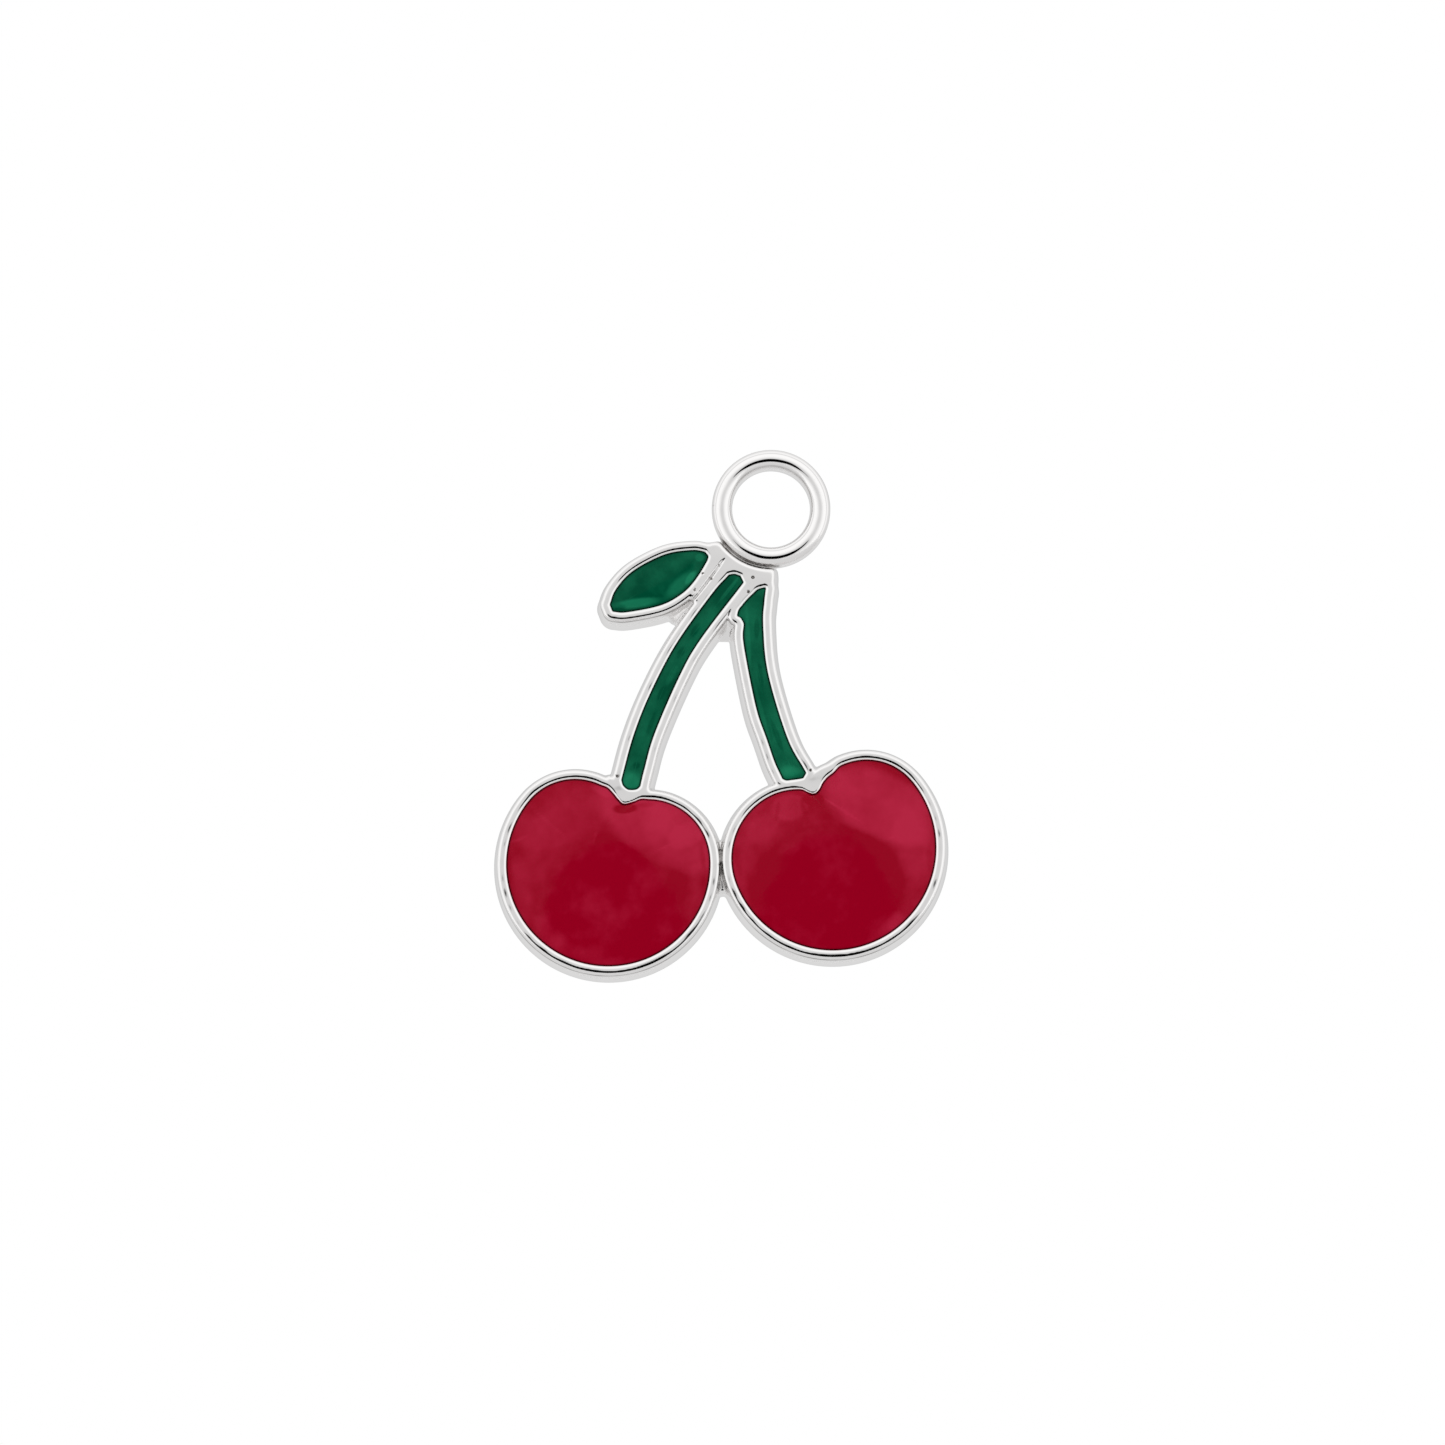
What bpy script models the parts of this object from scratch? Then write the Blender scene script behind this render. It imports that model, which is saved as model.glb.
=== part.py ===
"""Enamel cherry charm: one metal casting with a hanging ring, and five enamel fills in its cells.

The charm stands upright as it is worn, with its face towards -Y. The origin is at the middle of
the ring's eye. Outlines are drawn in millimetres on the face, X to the right and Z up, and become
metres where a mesh is made.
"""

import math

import bmesh
import bpy
from mathutils import Vector

MM = 0.001

# Depths through the charm, along Y in millimetres, from the rims' crests to the flat back.
CREST_Y = -0.95
BACK_Y = 0.95
CELL_DEPTH = 0.55
LAND = 0.25
LOW_WEB_Y = 0.10

# Cast walls around the cells.
RIM_WIDTH = 0.38
RIM_ROUND = 0.14
RIM_STEPS = 3
DRAFT = 0.27

# Hanging ring.
EYE_RADIUS = 1.62
CREST_RADIUS = 2.04
BEAD_RADIUS = 0.35
BEAD_STEPS = 8
RING_RADIUS = 2.48
RING_BACK_Y = 0.50
RING_STEPS = 56
# Outer and inner wall of the ring's section, as (radius less the wall's own, y).
OUTER_WALL = ((0.0, 0.05), (-0.05, 0.27), (-0.22, RING_BACK_Y))
INNER_WALL = ((0.15, RING_BACK_Y), (0.0, 0.30), (0.0, -0.35))

# Enamel fills.
FIT_GAP = 0.025
ENAMEL_SINK = 0.09
# How high each fill's dome rises, how far in from its edge, and in how many steps.
CHERRY_DOME = (0.36, 2.0, 4)
LEAF_DOME = (0.08, 0.10, 1)
STALK_DOME = (0.05, 0.07, 1)

# Spacing of the points on drawn outlines.
ARC_STEP = 9.0
EDGE_STEPS = 4
CORNER_STEP = 22.0
LEAST_SPACING = 0.12

METAL = (0.80, 0.79, 0.78)
RED_ENAMEL = (0.33, 0.004, 0.027)
GREEN_ENAMEL = (0.005, 0.105, 0.052)

# Each cherry: the middle and radius of its belly, the direction of its notch, and its shoulders
# as (radius, degrees from the notch direction), right-hand shoulder first.
LEFT_CHERRY = {
    "middle": (-6.79, -14.81),
    "belly": 4.20,
    "notch": 75.3,
    "shoulders": ((2.59, 71.6), (2.43, 66.4)),
}
RIGHT_CHERRY = {
    "middle": (2.56, -14.09),
    "belly": 4.26,
    "notch": 115.0,
    "shoulders": ((2.40, 74.2), (2.90, 85.6)),
}

# The leaf and the stalks: smooth edges through a few knots, which meet at corners.
LEAF_EDGES = (
    ((-6.68, -3.98), (-6.42, -3.35), (-5.70, -2.58), (-4.41, -1.91), (-3.28, -1.73), (-2.76, -1.80)),
    (
        (-2.65, -1.92), (-2.66, -2.10), (-3.17, -2.94), (-3.74, -3.53),
        (-4.62, -4.00), (-6.00, -4.28), (-6.57, -4.26),
    ),
)
LEFT_STALK_EDGES = (
    ((-6.19, -11.30), (-5.71, -9.52), (-5.03, -7.77), (-3.95, -5.68), (-2.45, -3.56), (-1.75, -2.76)),
    ((-1.62, -2.71), (-1.34, -2.77), (-1.18, -2.93)),
    ((-1.17, -3.06), (-2.90, -5.35), (-3.78, -6.87), (-4.87, -9.40), (-5.36, -11.15)),
    ((-5.42, -11.52), (-5.56, -11.66), (-5.92, -11.69), (-6.12, -11.52)),
)
RIGHT_STALK_EDGES = (
    ((-1.45, -4.36), (-0.99, -3.79), (-0.42, -3.24)),
    ((-0.32, -3.20), (-0.24, -3.30)),
    ((-0.30, -3.75), (-0.36, -4.80), (-0.16, -6.84), (0.65, -9.56), (1.42, -11.00)),
    ((1.42, -11.12), (1.30, -11.21), (0.62, -11.30), (0.48, -11.24)),
    ((0.18, -10.60), (-0.18, -9.56), (-0.62, -8.23), (-1.12, -5.65), (-1.12, -4.80)),
    ((-1.20, -4.55), (-1.40, -4.45)),
)

# Flat shoulder of metal that joins the ring, the leaf and the stalks.
PLATEAU = (
    (-2.46, -1.30), (-2.10, -1.10), (-1.20, -1.60), (0.00, -1.90), (0.30, -2.62), (0.12, -3.60),
    (-1.30, -4.20), (-2.40, -4.30), (-3.20, -3.90), (-3.60, -3.40), (-3.00, -2.10),
)
# Low webs behind the rims: the crotch of the stalks, the foot of the leaf, and the tie between the cherries.
LOW_WEBS = (
    ((-2.60, -4.50), (-1.30, -4.50), (-1.55, -5.25), (-2.10, -5.25)),
    ((-4.70, -4.20), (-3.40, -4.20), (-3.70, -4.90), (-4.20, -4.75)),
    ((-2.35, -13.70), (-1.80, -13.70), (-1.72, -16.10), (-2.40, -16.10)),
)


def arc(middle, radius, start, end):
    """Points on a circle's arc from start to end, in degrees, both ends included."""
    count = max(2, math.ceil(abs(end - start) / ARC_STEP))
    angles = (math.radians(start + (end - start) * step / count) for step in range(count + 1))
    return [Vector((middle[0] + radius * math.cos(a), middle[1] + radius * math.sin(a))) for a in angles]


def circles_meet(first, first_radius, second, second_radius, towards):
    """The crossing of two circles that lies furthest along the direction towards."""
    between = second - first
    along = (between.length_squared + first_radius**2 - second_radius**2) / (2 * between.length)
    across = math.sqrt(first_radius**2 - along**2)
    unit = between.normalized()
    side = Vector((-unit.y, unit.x))
    crossings = (first + unit * along + side * across, first + unit * along - side * across)
    return max(crossings, key=lambda point: point.dot(towards))


def bearing(middle, point, least):
    """Degrees from middle to point, at least the angle least."""
    angle = math.degrees(math.atan2(point.y - middle.y, point.x - middle.x))
    while angle < least:
        angle += 360.0
    return angle


def cherry_outline(cherry):
    """A cherry's outline: a round belly, and two shoulder arcs that meet in the stalk's notch."""
    middle = Vector(cherry["middle"])
    notch = cherry["notch"]
    (right_radius, right_spread), (left_radius, left_spread) = cherry["shoulders"]

    def shoulder_middle(radius, degrees):
        reach = cherry["belly"] - radius
        return middle + reach * Vector((math.cos(math.radians(degrees)), math.sin(math.radians(degrees))))

    right_start, left_end = notch - right_spread, notch + left_spread
    right, left = shoulder_middle(right_radius, right_start), shoulder_middle(left_radius, left_end)
    towards = Vector((math.cos(math.radians(notch)), math.sin(math.radians(notch))))
    tip = circles_meet(right, right_radius, left, left_radius, towards)
    left_start = bearing(left, tip, left_end - 180.0)
    outline = arc(right, right_radius, right_start, bearing(right, tip, right_start))
    outline += arc(left, left_radius, left_start, left_end)[1:]
    outline += arc(middle, cherry["belly"], left_end, right_start + 360.0)[1:-1]
    return outline


def smooth_edge(knots):
    """Points on a Catmull-Rom curve through the knots, both ends included."""
    points = [Vector(knot) for knot in knots]
    padded = [2 * points[0] - points[1], *points, 2 * points[-1] - points[-2]]
    edge = []
    for before, start, end, after in zip(padded, padded[1:], padded[2:], padded[3:]):
        for step in range(EDGE_STEPS):
            t = step / EDGE_STEPS
            pull = (end - before) * (t - 2 * t**2 + t**3) + (after - start) * (t**3 - t**2)
            edge.append(start + (end - start) * (3 * t**2 - 2 * t**3) + pull / 2)
    return edge + [points[-1]]


def thinned(outline):
    """A closed outline without the points that crowd the one before them."""
    kept = [outline[0]]
    for point in outline[1:]:
        if min((point - kept[-1]).length, (point - kept[0]).length) > LEAST_SPACING:
            kept.append(point)
    return kept


def edged_outline(edges):
    """One closed outline, anticlockwise, from smooth edges given in clockwise order."""
    outline = [point for knots in edges for point in smooth_edge(knots)]
    return thinned(outline[::-1])


def distance_to(point, outline):
    """Distance from a point to a closed outline."""
    nearest = math.inf
    for start, end in zip(outline, outline[1:] + outline[:1]):
        run = end - start
        t = min(1.0, max(0.0, (point - start).dot(run) / run.length_squared))
        nearest = min(nearest, (point - start - run * t).length)
    return nearest


def offset_outline(outline, distance):
    """An anticlockwise outline grown by distance, with round corners and no loops where it folds in."""
    grown = []
    for before, corner, after in zip(outline[-1:] + outline[:-1], outline, outline[1:] + outline[:1]):
        arriving, leaving = (corner - before).normalized(), (after - corner).normalized()
        start = math.degrees(math.atan2(-arriving.x, arriving.y))
        turn = math.degrees(arriving.angle_signed(leaving)) * -1.0
        fan = max(1, round(turn / CORNER_STEP)) if distance > 0 else 1
        for step in range(fan + 1) if fan > 1 else (0.5,):
            angle = math.radians(start + turn * step / fan)
            reach = distance if fan > 1 else distance / math.cos(math.radians(turn / 2))
            grown.append(corner + reach * Vector((math.cos(angle), math.sin(angle))))
    return thinned([point for point in grown if distance_to(point, outline) > abs(distance) - 0.001])


def flat_face(mesh, outline, y):
    """One face that fills an outline, in the plane Y = y, looking towards -Y."""
    return mesh.faces.new([mesh.verts.new((p.x * MM, y * MM, p.y * MM)) for p in outline])


def raise_face(mesh, face, height):
    """Extrude a face straight towards -Y and return the face at the new end."""
    extruded = bmesh.ops.extrude_face_region(mesh, geom=[face])["geom"]
    moved = [item for item in extruded if isinstance(item, bmesh.types.BMVert)]
    bmesh.ops.translate(mesh, verts=moved, vec=(0, -height * MM, 0))
    return next(item for item in extruded if isinstance(item, bmesh.types.BMFace))


def step_in(mesh, face, inwards, upwards):
    """Shrink the top face inwards while it rises, which leaves a sloping wall around it."""
    bmesh.ops.inset_individual(
        mesh, faces=[face], thickness=inwards * MM, depth=upwards * MM, use_even_offset=True
    )


def finished_object(name, mesh, collection):
    """Turn a bmesh into a named object in a collection, smooth where it is round."""
    bmesh.ops.recalc_face_normals(mesh, faces=mesh.faces)
    data = bpy.data.meshes.new(name)
    mesh.to_mesh(data)
    mesh.free()
    data.shade_smooth()
    data.set_sharp_from_angle(angle=math.radians(35))
    item = bpy.data.objects.new(name, data)
    collection.objects.link(item)
    return item


def block(name, outline, front_y, back_y, collection):
    """A plain block between two depths."""
    mesh = bmesh.new()
    raise_face(mesh, flat_face(mesh, outline, back_y), back_y - front_y)
    return finished_object(name, mesh, collection)


def rounded_top(mesh, top, radius):
    """Round a block's front edge over in a few steps of a quarter circle."""
    for step in range(RIM_STEPS):
        start, end = (math.pi / 2 * k / RIM_STEPS for k in (step, step + 1))
        inwards = radius * (math.cos(start) - math.cos(end))
        upwards = radius * (math.sin(end) - math.sin(start))
        step_in(mesh, top, inwards, upwards)


def cup(name, cell, collection):
    """The cast block around a cell: a straight land at the back, a drafted wall and a round rim."""
    mesh = bmesh.new()
    foot = flat_face(mesh, offset_outline(cell, RIM_WIDTH + DRAFT), BACK_Y)
    top = raise_face(mesh, foot, LAND)
    step_in(mesh, top, DRAFT, BACK_Y - CREST_Y - LAND - RIM_ROUND)
    rounded_top(mesh, top, RIM_ROUND)
    return finished_object(name, mesh, collection)


def plateau(name, collection):
    """The flat shoulder under the ring, with a round front edge."""
    mesh = bmesh.new()
    outline = [Vector(point) for point in PLATEAU][::-1]
    top = raise_face(mesh, flat_face(mesh, outline, BACK_Y), BACK_Y - CREST_Y - RIM_ROUND / 2)
    rounded_top(mesh, top, RIM_ROUND / 2)
    return finished_object(name, mesh, collection)


def ring_section():
    """The ring's section as (radius, y): eye wall, round bead in front, outer wall and back."""
    bead = [
        (CREST_RADIUS - BEAD_RADIUS * math.cos(angle), CREST_Y + BEAD_RADIUS * (1 - math.sin(angle)))
        for angle in (math.pi * step / BEAD_STEPS for step in range(BEAD_STEPS + 1))
    ]
    outer = [(RING_RADIUS + inset, y) for inset, y in OUTER_WALL]
    inner = [(EYE_RADIUS + inset, y) for inset, y in INNER_WALL]
    return bead + outer + inner


def hanging_ring(name, collection):
    """The ring, turned about the eye's axis."""
    mesh = bmesh.new()
    corners = [mesh.verts.new((radius * MM, y * MM, 0)) for radius, y in ring_section()]
    for corner, following in zip(corners, corners[1:] + corners[:1]):
        mesh.edges.new((corner, following))
    item = finished_object(name, mesh, collection)
    screw = item.modifiers.new("turn", "SCREW")
    screw.axis = "Y"
    screw.steps = screw.render_steps = RING_STEPS
    screw.use_merge_vertices = True
    screw.merge_threshold = 0.00001
    screw.use_normal_calculate = True
    return item


def enamel_fill(name, cell, dome, collection):
    """Glassy fill for a cell: upright sides, and a dome given as (rise, reach, steps)."""
    rise, reach, steps = dome
    mesh = bmesh.new()
    floor_y = CREST_Y + CELL_DEPTH - FIT_GAP
    edge_y = CREST_Y + ENAMEL_SINK
    top = raise_face(mesh, flat_face(mesh, offset_outline(cell, -FIT_GAP), floor_y), floor_y - edge_y)
    for step in range(steps):
        start, end = (1 - (1 - k / steps) ** 2 for k in (step, step + 1))
        step_in(mesh, top, reach / steps, rise * (end - start))
    return finished_object(name, mesh, collection)


def boolean(target, tool, operation):
    """Join a tool to the target, or cut it away, and leave the tool as a wire guide."""
    modifier = target.modifiers.new(tool.name, "BOOLEAN")
    modifier.operation = operation
    modifier.solver = "EXACT"
    modifier.object = tool
    tool.hide_render = True
    tool.display_type = "WIRE"


def material(name, colour, roughness, metallic):
    """A Principled material."""
    finish = bpy.data.materials.new(name)
    finish.use_nodes = True
    shader = finish.node_tree.nodes["Principled BSDF"]
    shader.inputs["Base Color"].default_value = (*colour, 1.0)
    shader.inputs["Roughness"].default_value = roughness
    shader.inputs["Metallic"].default_value = metallic
    return finish


def new_collection(name):
    """A collection in the scene."""
    collection = bpy.data.collections.new(name)
    bpy.context.scene.collection.children.link(collection)
    return collection


def main():
    """Build the casting and its enamel."""
    for item in list(bpy.data.objects):
        bpy.data.objects.remove(item, do_unlink=True)
    charm = new_collection("enamel_cherry_charm")
    guides = new_collection("cutters")

    cells = {
        "cherry_left": cherry_outline(LEFT_CHERRY),
        "cherry_right": cherry_outline(RIGHT_CHERRY),
        "stalk_left": edged_outline(LEFT_STALK_EDGES),
        "stalk_right": edged_outline(RIGHT_STALK_EDGES),
        "leaf": edged_outline(LEAF_EDGES),
    }
    cups = [cup(f"cup_{name}", cell, guides) for name, cell in cells.items()]
    joined = cups[1:] + [plateau("plateau", guides), hanging_ring("ring", guides)]
    for number, web in enumerate(LOW_WEBS):
        outline = [Vector(point) for point in web][::-1]
        joined.append(block(f"low_web_{number}", outline, LOW_WEB_Y, BACK_Y, guides))

    casting = cups[0]
    casting.name = "cast_frame"
    guides.objects.unlink(casting)
    charm.objects.link(casting)
    for tool in joined:
        boolean(casting, tool, "UNION")
    for name, cell in cells.items():
        pocket = block(f"cell_{name}", cell, CREST_Y - CELL_DEPTH, CREST_Y + CELL_DEPTH, guides)
        boolean(casting, pocket, "DIFFERENCE")
    casting.data.materials.append(material("plated_metal", METAL, 0.12, 1.0))

    red = material("red_enamel", RED_ENAMEL, 0.08, 0.0)
    green = material("green_enamel", GREEN_ENAMEL, 0.10, 0.0)
    fills = (
        ("cherry_left", CHERRY_DOME, red),
        ("cherry_right", CHERRY_DOME, red),
        ("stalk_left", STALK_DOME, green),
        ("stalk_right", STALK_DOME, green),
        ("leaf", LEAF_DOME, green),
    )
    for name, dome, finish in fills:
        fill = enamel_fill(f"enamel_{name}", cells[name], dome, charm)
        fill.data.materials.append(finish)


main()
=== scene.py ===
"""Looks of an enamel cherry charm: a polished casting with a hanging ring, and glassy fills in its cells.

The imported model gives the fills' outlines and every depth. The casting is modelled as a field, which is
negative inside the metal, and skinned with a fine mesh. Fields work in millimetres, meshes in metres.
"""

import logging
import math
from dataclasses import dataclass, field
from enum import Enum

import bpy
import numpy as np
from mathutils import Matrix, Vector


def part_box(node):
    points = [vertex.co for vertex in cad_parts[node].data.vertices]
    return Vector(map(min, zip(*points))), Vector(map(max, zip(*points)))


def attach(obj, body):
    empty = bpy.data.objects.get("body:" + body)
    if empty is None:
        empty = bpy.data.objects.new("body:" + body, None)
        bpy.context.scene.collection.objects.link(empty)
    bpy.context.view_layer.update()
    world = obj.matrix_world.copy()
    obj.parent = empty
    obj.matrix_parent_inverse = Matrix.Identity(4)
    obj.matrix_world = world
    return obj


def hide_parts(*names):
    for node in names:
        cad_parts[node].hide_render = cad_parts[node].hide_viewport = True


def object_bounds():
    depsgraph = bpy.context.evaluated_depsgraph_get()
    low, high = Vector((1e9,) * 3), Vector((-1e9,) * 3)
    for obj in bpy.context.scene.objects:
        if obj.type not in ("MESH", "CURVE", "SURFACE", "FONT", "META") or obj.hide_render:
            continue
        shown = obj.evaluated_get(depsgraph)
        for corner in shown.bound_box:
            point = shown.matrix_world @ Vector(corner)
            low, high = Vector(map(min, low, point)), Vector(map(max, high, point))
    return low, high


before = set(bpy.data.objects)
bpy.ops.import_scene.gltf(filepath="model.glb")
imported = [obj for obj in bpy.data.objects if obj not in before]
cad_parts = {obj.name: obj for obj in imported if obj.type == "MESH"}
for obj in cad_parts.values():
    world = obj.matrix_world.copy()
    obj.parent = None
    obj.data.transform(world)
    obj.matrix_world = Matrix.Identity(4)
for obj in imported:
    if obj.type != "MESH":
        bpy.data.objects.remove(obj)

CAD_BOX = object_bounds()
MM = 0.001
FAR = 3.0
LIP_CLEARANCE = 0.25

Knots = tuple[tuple[float, float], ...]
Spots = tuple[tuple[float, float, float], ...]
Colour = tuple[float, float, float]

log = logging.getLogger("cherry_charm")


class Slot(Enum):
    """The record's material slots."""

    METAL = "plated_metal"
    RED = "red_enamel"
    GREEN = "green_enamel"


def smooth_union(first: np.ndarray, second: np.ndarray, blend: float) -> np.ndarray:
    """Join two fields with a soft fillet.

    Args:
        first: One field.
        second: The other field.
        blend: Width of the fillet.

    Returns:
        The joined field.
    """
    near = np.maximum(blend - np.abs(first - second), 0.0) / blend
    return np.minimum(first, second) - near * near * blend / 4.0


def smooth_cut(first: np.ndarray, second: np.ndarray, blend: float) -> np.ndarray:
    """Keep only what two fields share, with a soft edge."""
    return -smooth_union(-first, -second, blend)


def rounded_edge(
    inwards: np.ndarray, behind: np.ndarray, across: float | np.ndarray, deep: float, power: float = 2.0
) -> np.ndarray:
    """Field of a face whose edge is rounded over.

    Args:
        inwards: Distance in from the edge, positive inside.
        behind: Distance behind the face, positive inside.
        across: Width of the rounding along the face, one for all places or one for each.
        deep: Height of the rounding, away from the face.
        power: 2 rounds as an ellipse, more keeps the crown flatter and turns faster.

    Returns:
        The field, close to a true distance near the surface.
    """
    u = np.maximum(1.0 - inwards / across, 0.0)
    v = np.maximum(1.0 - behind / deep, 0.0)
    reach = np.maximum((u**power + v**power) ** (1.0 / power), 1e-6)
    u_share, v_share = (u / reach) ** (power - 1.0), (v / reach) ** (power - 1.0)
    slope = np.sqrt((u_share / across) ** 2 + (v_share / deep) ** 2)
    return (reach - 1.0) / np.maximum(slope, 1e-3)


@dataclass
class Outline:
    """A closed, smooth outline on the charm's face, in millimetres as (x, z) points."""

    points: np.ndarray

    @classmethod
    def through(cls, knots: np.ndarray, steps: int = 6, corner_degrees: float = 32.0) -> "Outline":
        """Draw a smooth curve through knots, and keep the corners that turn sharply.

        Args:
            knots: Closed list of (x, z) points.
            steps: Points for each stretch between two knots.
            corner_degrees: Turn from which a knot stays a corner.

        Returns:
            The outline.
        """
        run = np.roll(knots, -1, 0) - knots
        length = np.linalg.norm(run, axis=1, keepdims=True)
        leaving = run / length
        arriving = np.roll(leaving, 1, 0)
        lean = arriving * length + leaving * np.roll(length, 1, 0)
        lean /= np.linalg.norm(lean, axis=1, keepdims=True)
        turn = np.degrees(np.arccos(np.clip((arriving * leaving).sum(1, keepdims=True), -1, 1)))
        start = np.where(turn > corner_degrees, leaving, lean)
        end = np.roll(np.where(turn > corner_degrees, arriving, lean), -1, 0)
        t = (np.arange(steps) / steps)[None, :, None]
        first, last = knots[:, None], np.roll(knots, -1, 0)[:, None]
        bend = start[:, None] * (t - 2 * t**2 + t**3) + end[:, None] * (t**3 - t**2)
        curve = first + (last - first) * (3 * t**2 - 2 * t**3) + bend * length[:, None]
        return cls(curve.reshape(-1, 2))

    @classmethod
    def of_fill(cls, node: str, nudge: tuple[float, float] = (0.0, 0.0), lip: Knots = ()) -> "Outline":
        """Read the outline of an enamel fill from the rim of its flat underside.

        Args:
            node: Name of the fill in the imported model.
            nudge: Small shift of the whole outline.
            lip: Knots that replace the outline's stretch nearest them, where the metal juts in.

        Returns:
            The fill's outline.
        """
        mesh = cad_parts[node].data
        mesh.calc_loop_triangles()
        places = np.array([vertex.co for vertex in mesh.vertices]) / MM
        triangles = np.array([triangle.vertices[:] for triangle in mesh.loop_triangles])
        low = places[:, 1] > places[:, 1].max() - 1e-3
        triangles = triangles[low[triangles].all(1)]
        keys = [tuple(place) for place in np.round(places[:, (0, 2)], 4)]
        edges = {(keys[a], keys[b]) for t in triangles for a, b in zip(t, np.roll(t, -1))}
        following = {a: b for a, b in edges if (b, a) not in edges}
        chain = [next(iter(sorted(following)))]
        while following[chain[-1]] != chain[0]:
            chain.append(following[chain[-1]])
        knots = np.array(chain) + nudge
        return cls.through(cls._with_lip(knots, np.array(lip)) if lip else knots)

    @staticmethod
    def _with_lip(knots: np.ndarray, lip: np.ndarray) -> np.ndarray:
        """Replace the stretch of a closed list of knots that runs along a lip.

        Args:
            knots: Closed list of (x, z) points.
            lip: The lip's own knots, in either direction.

        Returns:
            The new closed list.
        """
        kept = knots[np.linalg.norm(knots[:, None] - lip, axis=2).min(1) > LIP_CLEARANCE]
        gap = np.linalg.norm(np.roll(kept, -1, 0) - kept, axis=1).argmax()
        kept = np.roll(kept, -gap - 1, 0)
        ahead = np.linalg.norm(lip[[0, -1]] - kept[-1], axis=1)
        return np.concatenate([kept, lip if ahead[0] < ahead[1] else lip[::-1]])

    def grown(self, by: float) -> "Outline":
        """Move the outline outwards.

        Args:
            by: A small distance.

        Returns:
            The moved outline.
        """
        run = np.roll(self.points, -1, 0) - np.roll(self.points, 1, 0)
        run /= np.linalg.norm(run, axis=1, keepdims=True)
        following = np.roll(self.points, -1, 0)
        area = (self.points[:, 0] * following[:, 1] - following[:, 0] * self.points[:, 1]).sum()
        out = np.stack([run[:, 1], -run[:, 0]], 1) * (1.0 if area > 0 else -1.0)
        return Outline(self.points + out * by)

    def distance(self, x: np.ndarray, z: np.ndarray) -> np.ndarray:
        """Signed distance from the outline, negative inside.

        Args:
            x: Places along X.
            z: Places along Z, of the same shape.

        Returns:
            Distances, of the same shape.
        """
        start, run = self.points, np.roll(self.points, -1, 0) - self.points
        squared = (run**2).sum(1)
        flat = np.stack([x.ravel(), z.ravel()], 1)
        result = np.empty(len(flat))
        for low in range(0, len(flat), 8192):
            part = flat[low : low + 8192, None]
            offset = part - start
            t = np.clip((offset * run).sum(2) / squared, 0, 1)[..., None]
            away = np.sqrt(((offset - t * run) ** 2).sum(2).min(1))
            above = start[:, 1] > part[..., 1]
            crosses = above != (np.roll(start[:, 1], -1) > part[..., 1])
            rise = np.where(run[:, 1] == 0, 1e-12, run[:, 1])
            hit = part[..., 0] < start[:, 0] + run[:, 0] * (part[..., 1] - start[:, 1]) / rise
            inside = (crosses & hit).sum(1) % 2 == 1
            result[low : low + 8192] = np.where(inside, -away, away)
        return result.reshape(x.shape)


@dataclass
class FacePlan:
    """Distances drawn over the charm's face on a fine square grid, in millimetres."""

    low: np.ndarray
    high: np.ndarray
    pitch: float
    x: np.ndarray = field(init=False)
    z: np.ndarray = field(init=False)
    maps: dict[str, np.ndarray] = field(default_factory=dict)

    def __post_init__(self) -> None:
        """Lay out the grid."""
        self.x = np.arange(self.low[0], self.high[0] + self.pitch, self.pitch)
        self.z = np.arange(self.low[1], self.high[1] + self.pitch, self.pitch)

    def distance(self, outline: Outline, margin: float = 1.4) -> np.ndarray:
        """Signed distance from an outline over the grid, worked out only near it.

        Args:
            outline: The outline.
            margin: How far around the outline the distance is worked out.

        Returns:
            Distances over the grid, which stay at FAR beyond the margin.
        """
        result = np.full((len(self.x), len(self.z)), FAR)
        low, high = outline.points.min(0) - margin, outline.points.max(0) + margin
        near_x = (self.x > low[0]) & (self.x < high[0])
        near_z = (self.z > low[1]) & (self.z < high[1])
        grid = np.meshgrid(self.x[near_x], self.z[near_z], indexing="ij")
        result[np.ix_(near_x, near_z)] = outline.distance(*grid)
        return result

    def at(self, name: str, x: np.ndarray, z: np.ndarray) -> np.ndarray:
        """Smoothly interpolated map values (Catmull-Rom in both directions).

        Args:
            name: The map's name.
            x: Places along X.
            z: Places along Z.

        Returns:
            One value for each place.
        """
        values = self.maps[name]
        across, up = (x - self.x[0]) / self.pitch, (z - self.z[0]) / self.pitch
        i = np.clip(np.floor(across).astype(int), 1, values.shape[0] - 3)
        k = np.clip(np.floor(up).astype(int), 1, values.shape[1] - 3)
        total = np.zeros_like(across)
        weights_x, weights_z = self._weights(across - i), self._weights(up - k)
        for step_x, weight_x in enumerate(weights_x):
            row = np.zeros_like(across)
            for step_z, weight_z in enumerate(weights_z):
                row += values[i + step_x - 1, k + step_z - 1] * weight_z
            total += row * weight_x
        return total

    @staticmethod
    def _weights(t: np.ndarray) -> tuple[np.ndarray, ...]:
        """The four Catmull-Rom weights at fraction t."""
        return (
            (-t + 2 * t**2 - t**3) / 2,
            (2 - 5 * t**2 + 3 * t**3) / 2,
            (t + 4 * t**2 - 3 * t**3) / 2,
            (-(t**2) + t**3) / 2,
        )


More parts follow.
